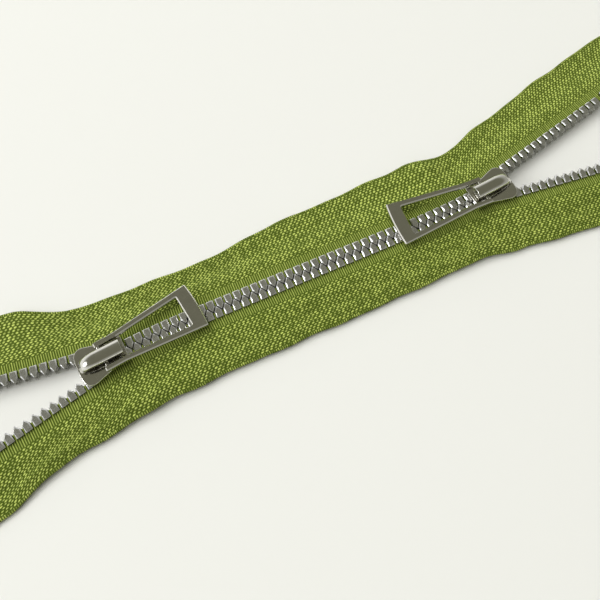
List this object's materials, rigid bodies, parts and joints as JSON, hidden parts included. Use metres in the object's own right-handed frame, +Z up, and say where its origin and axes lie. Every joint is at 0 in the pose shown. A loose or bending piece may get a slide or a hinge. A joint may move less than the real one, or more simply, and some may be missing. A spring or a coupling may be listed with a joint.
{
  "type": "two-way metal zipper",
  "caption": "Lime woven-tape metal zipper, closed between sliders that sit tail to tail with trapezoid pull tabs, with open legs beyond them.",
  "frame": {"origin": "middle of the closed chain in plan, at the height of the table that the zipper lies on", "axes": "+X along the closed chain towards the right slider, +Y across the tapes towards the upper tape, +Z up from the table"},
  "size_m": [0.2284, 0.065, 0.0074],
  "materials": {
    "woven_tape": "lime green woven polyester, fine ribs by the teeth and a broken twill outside them",
    "plated_teeth": "polished nickel plate",
    "plated_slider": "polished nickel plate, slightly warmer than the teeth",
    "spring_steel": "plain spring steel strip"
  },
  "bodies": {
    "chain_and_tapes": {"upper_tape": "woven_tape", "upper_teeth_left_leg": "plated_teeth", "upper_teeth_middle": "plated_teeth", "upper_teeth_right_leg": "plated_teeth", "upper_tooth_left_1": "plated_teeth", "upper_tooth_left_2": "plated_teeth", "upper_tooth_left_3": "plated_teeth", "upper_tooth_left_4": "plated_teeth", "upper_tooth_left_5": "plated_teeth", "upper_tooth_left_6": "plated_teeth", "upper_tooth_right_1": "plated_teeth", "upper_tooth_right_2": "plated_teeth", "upper_tooth_right_3": "plated_teeth", "upper_tooth_right_4": "plated_teeth", "upper_tooth_right_5": "plated_teeth", "upper_tooth_right_6": "plated_teeth", "upper_stop_left": "plated_teeth", "upper_stop_right": "plated_teeth", "lower_tape": "woven_tape", "lower_teeth_left_leg": "plated_teeth", "lower_teeth_middle": "plated_teeth", "lower_teeth_right_leg": "plated_teeth", "lower_tooth_left_1": "plated_teeth", "lower_tooth_left_2": "plated_teeth", "lower_tooth_left_3": "plated_teeth", "lower_tooth_left_4": "plated_teeth", "lower_tooth_left_5": "plated_teeth", "lower_tooth_left_6": "plated_teeth", "lower_tooth_right_1": "plated_teeth", "lower_tooth_right_2": "plated_teeth", "lower_tooth_right_3": "plated_teeth", "lower_tooth_right_4": "plated_teeth", "lower_tooth_right_5": "plated_teeth", "lower_tooth_right_6": "plated_teeth", "lower_stop_left": "plated_teeth", "lower_stop_right": "plated_teeth"},
    "left_slider": {"left_slider_body": "plated_slider", "left_bridge_cap": "plated_slider"},
    "left_pull_tab": {"left_pull_tab": "plated_slider"},
    "left_lock_lever": {"left_lock_lever": "spring_steel"},
    "right_slider": {"right_slider_body": "plated_slider", "right_bridge_cap": "plated_slider"},
    "right_pull_tab": {"right_pull_tab": "plated_slider"},
    "right_lock_lever": {"right_lock_lever": "spring_steel"}
  },
  "joints": [
    {"name": "left_slider_slide", "type": "slide", "parent": "chain_and_tapes", "child": "left_slider", "axis": [-1, 0, 0], "range_m": [-0.024, 0.037], "deforming": ["upper_tape", "upper_teeth_left_leg", "upper_teeth_middle", "upper_tooth_left_1", "upper_tooth_left_2", "upper_tooth_left_3", "upper_tooth_left_4", "upper_tooth_left_5", "upper_tooth_left_6", "lower_tape", "lower_teeth_left_leg", "lower_teeth_middle", "lower_tooth_left_1", "lower_tooth_left_2", "lower_tooth_left_3", "lower_tooth_left_4", "lower_tooth_left_5", "lower_tooth_left_6"]},
    {"name": "left_tab_hinge", "type": "hinge", "parent": "left_slider", "child": "left_pull_tab", "pos_m": [-0.05061, -0.00121, 0.0053], "axis": [0.1461, -0.9893, 0], "range_deg": [0, 180]},
    {"name": "left_lock_lever_hinge", "type": "hinge", "parent": "left_slider", "child": "left_lock_lever", "pos_m": [-0.05459, -0.00156, 0.00455], "axis": [0.0872, -0.9962, 0], "range_deg": [0, 4], "stiffness_Nm_per_rad": 0.005},
    {"name": "right_slider_slide", "type": "slide", "parent": "chain_and_tapes", "child": "right_slider", "axis": [1, 0, 0], "range_m": [-0.024, 0.037], "deforming": ["upper_tape", "upper_teeth_middle", "upper_teeth_right_leg", "upper_tooth_right_1", "upper_tooth_right_2", "upper_tooth_right_3", "upper_tooth_right_4", "upper_tooth_right_5", "upper_tooth_right_6", "lower_tape", "lower_teeth_middle", "lower_teeth_right_leg", "lower_tooth_right_1", "lower_tooth_right_2", "lower_tooth_right_3", "lower_tooth_right_4", "lower_tooth_right_5", "lower_tooth_right_6"]},
    {"name": "right_tab_hinge", "type": "hinge", "parent": "right_slider", "child": "right_pull_tab", "pos_m": [0.04852, 0.00103, 0.0053], "axis": [0.0366, 0.9993, 0], "range_deg": [0, 180]},
    {"name": "right_lock_lever_hinge", "type": "hinge", "parent": "right_slider", "child": "right_lock_lever", "pos_m": [0.05459, 0.00156, 0.00455], "axis": [-0.0872, 0.9962, 0], "range_deg": [0, 4], "stiffness_Nm_per_rad": 0.005}
  ]
}
